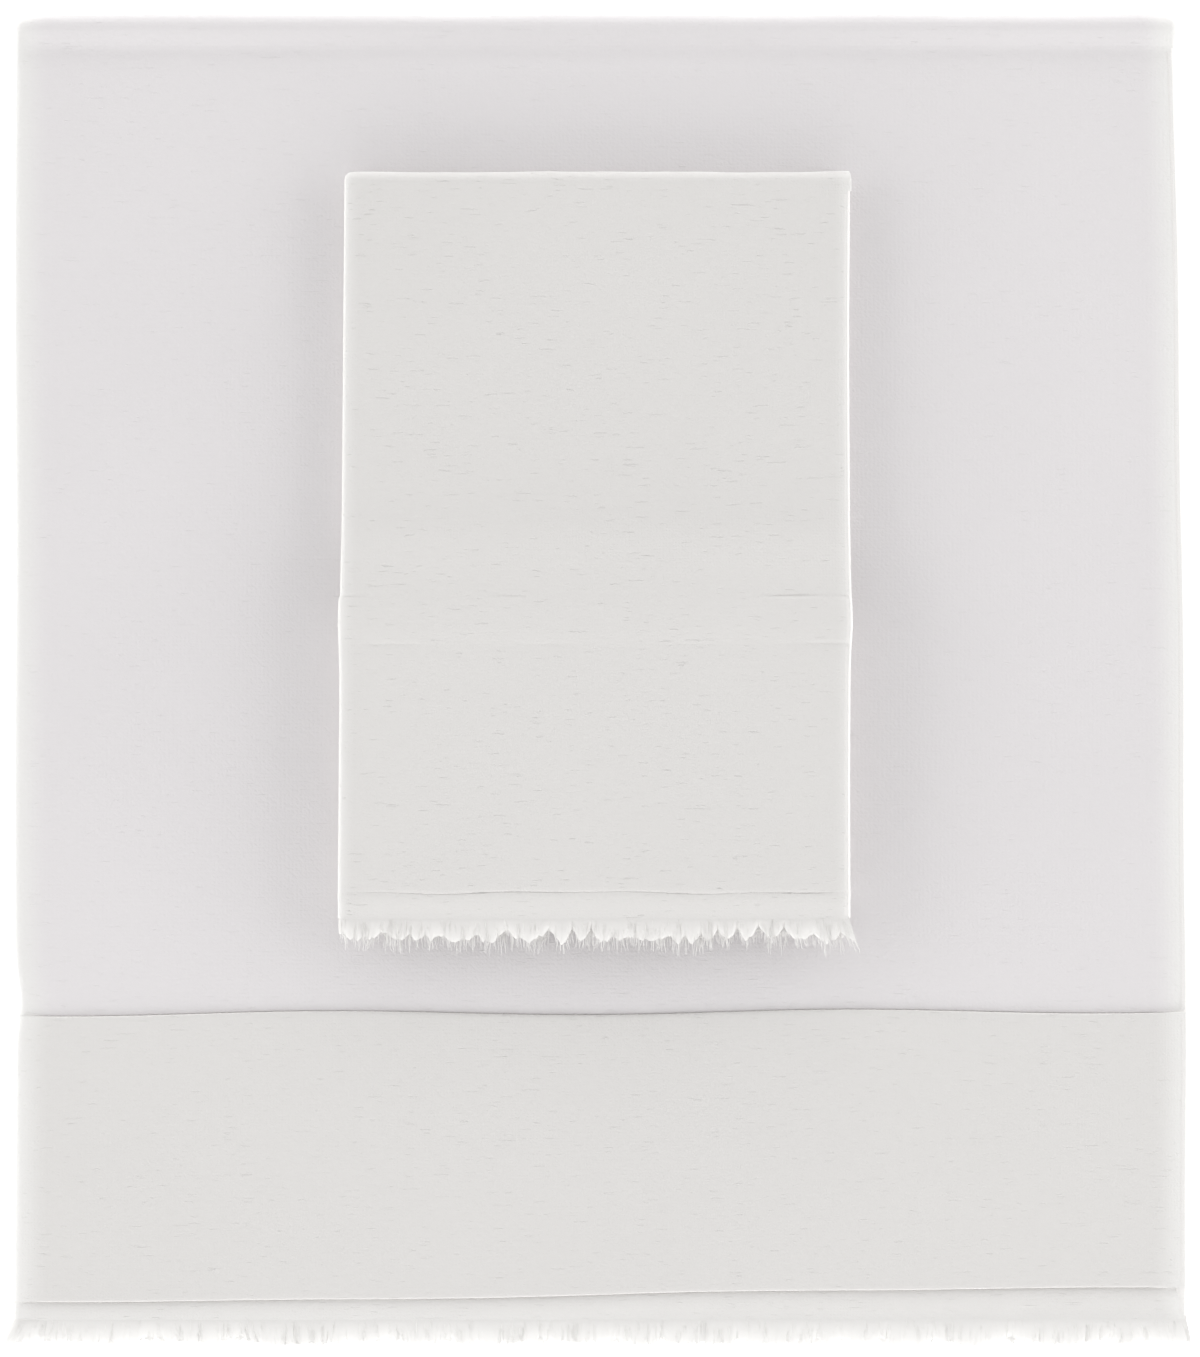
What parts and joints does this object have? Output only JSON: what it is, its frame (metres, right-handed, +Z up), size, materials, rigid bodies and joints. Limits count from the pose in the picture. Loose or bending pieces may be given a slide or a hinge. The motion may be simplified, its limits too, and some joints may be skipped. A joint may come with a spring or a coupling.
{
  "type": "folded bath towel set",
  "caption": "Large fringed bath towel folded flat in an accordion, with a deep woven border band, and a folded fringed hand towel lying on it.",
  "frame": {"origin": "centre of the set's bounding box, at the surface that it lies on", "axes": "+X across the towels from the side fold towards the open selvedges, +Y towards the top folds, +Z up from the surface"},
  "size_m": [0.46, 0.518, 0.0351],
  "materials": {
    "bath_cloth": "washed cotton towelling, soft matt off-white",
    "border_cloth": "flat woven slub cotton, matt warm off-white",
    "hand_cloth": "flat woven slub cotton, matt warm off-white",
    "selvedge_weave": "dense woven edge, matt off-white",
    "fringe_yarn": "loose frayed cotton yarn, soft white",
    "sewing_thread": "cotton sewing thread, matt"
  },
  "bodies": {
    "bath_lower": {"bath_lower_field": "bath_cloth", "bath_lower_border": "border_cloth", "bath_lower_header": "border_cloth", "bath_lower_selvedge_under": "selvedge_weave", "bath_lower_selvedge_top": "selvedge_weave", "bath_lower_fringe_under": "fringe_yarn", "bath_lower_fringe_top": "fringe_yarn", "bath_bottom_fold_inner": "bath_cloth", "bath_bottom_fold_outer": "bath_cloth"},
    "bath_middle": {"bath_middle_field": "bath_cloth", "bath_middle_selvedge_under": "selvedge_weave", "bath_middle_selvedge_top": "selvedge_weave", "bath_top_fold_inner": "bath_cloth", "bath_top_fold_outer": "bath_cloth"},
    "bath_upper": {"bath_upper_field": "bath_cloth", "bath_upper_border": "border_cloth", "bath_upper_header": "border_cloth", "bath_upper_selvedge_under": "selvedge_weave", "bath_upper_selvedge_top": "selvedge_weave", "bath_upper_fringe_under": "fringe_yarn", "bath_upper_fringe_top": "fringe_yarn", "bath_border_seam_thread": "sewing_thread", "bath_header_seam_thread": "sewing_thread"},
    "hand_lower": {"hand_lower_field": "hand_cloth", "hand_lower_selvedge_under": "selvedge_weave", "hand_lower_selvedge_top": "selvedge_weave", "hand_bottom_fold_inner": "hand_cloth", "hand_bottom_fold_outer": "hand_cloth", "hand_top_fold_inner": "hand_cloth", "hand_top_fold_outer": "hand_cloth"},
    "hand_flap": {"hand_flap_field": "hand_cloth", "hand_flap_header": "hand_cloth", "hand_flap_selvedge_under": "selvedge_weave", "hand_flap_selvedge_top": "selvedge_weave", "hand_flap_fringe_under": "fringe_yarn", "hand_flap_fringe_top": "fringe_yarn"},
    "hand_upper": {"hand_upper_field": "hand_cloth", "hand_upper_header": "hand_cloth", "hand_upper_selvedge_under": "selvedge_weave", "hand_upper_selvedge_top": "selvedge_weave", "hand_upper_fringe_under": "fringe_yarn", "hand_upper_fringe_top": "fringe_yarn", "hand_hemstitch_thread": "sewing_thread"}
  },
  "joints": [
    {"name": "bath_middle_unfold", "type": "hinge", "parent": "bath_lower", "child": "bath_middle", "pos_m": [0, -0.2334, 0.00645], "axis": [1, 0, 0], "range_deg": [0, 179.9], "deforming": ["bath_bottom_fold_inner", "bath_bottom_fold_outer"]},
    {"name": "bath_upper_unfold", "type": "hinge", "parent": "bath_middle", "child": "bath_upper", "pos_m": [0, 0.2524, 0.01305], "axis": [-1, 0, 0], "range_deg": [0, 179.9], "deforming": ["bath_top_fold_inner", "bath_top_fold_outer"]},
    {"name": "hand_towel_lift", "type": "slide", "parent": "bath_upper", "child": "hand_lower", "axis": [0, 0, 1], "range_m": [0, 0.3]},
    {"name": "hand_upper_unfold", "type": "hinge", "parent": "hand_lower", "child": "hand_upper", "pos_m": [-0.0018, 0.1916, 0.02485], "axis": [-1, 0, 0], "range_deg": [0, 175], "deforming": ["hand_top_fold_inner", "hand_top_fold_outer"]},
    {"name": "hand_flap_unfold", "type": "hinge", "parent": "hand_lower", "child": "hand_flap", "pos_m": [-0.0018, -0.0796, 0.02485], "axis": [1, 0, 0], "range_deg": [0, 175], "deforming": ["hand_bottom_fold_inner", "hand_bottom_fold_outer"]}
  ],
  "couplings": [
    {"joint": "bath_upper_unfold", "follows": "bath_middle_unfold", "ratio": 1},
    {"joint": "hand_flap_unfold", "follows": "hand_upper_unfold", "ratio": 1}
  ]
}
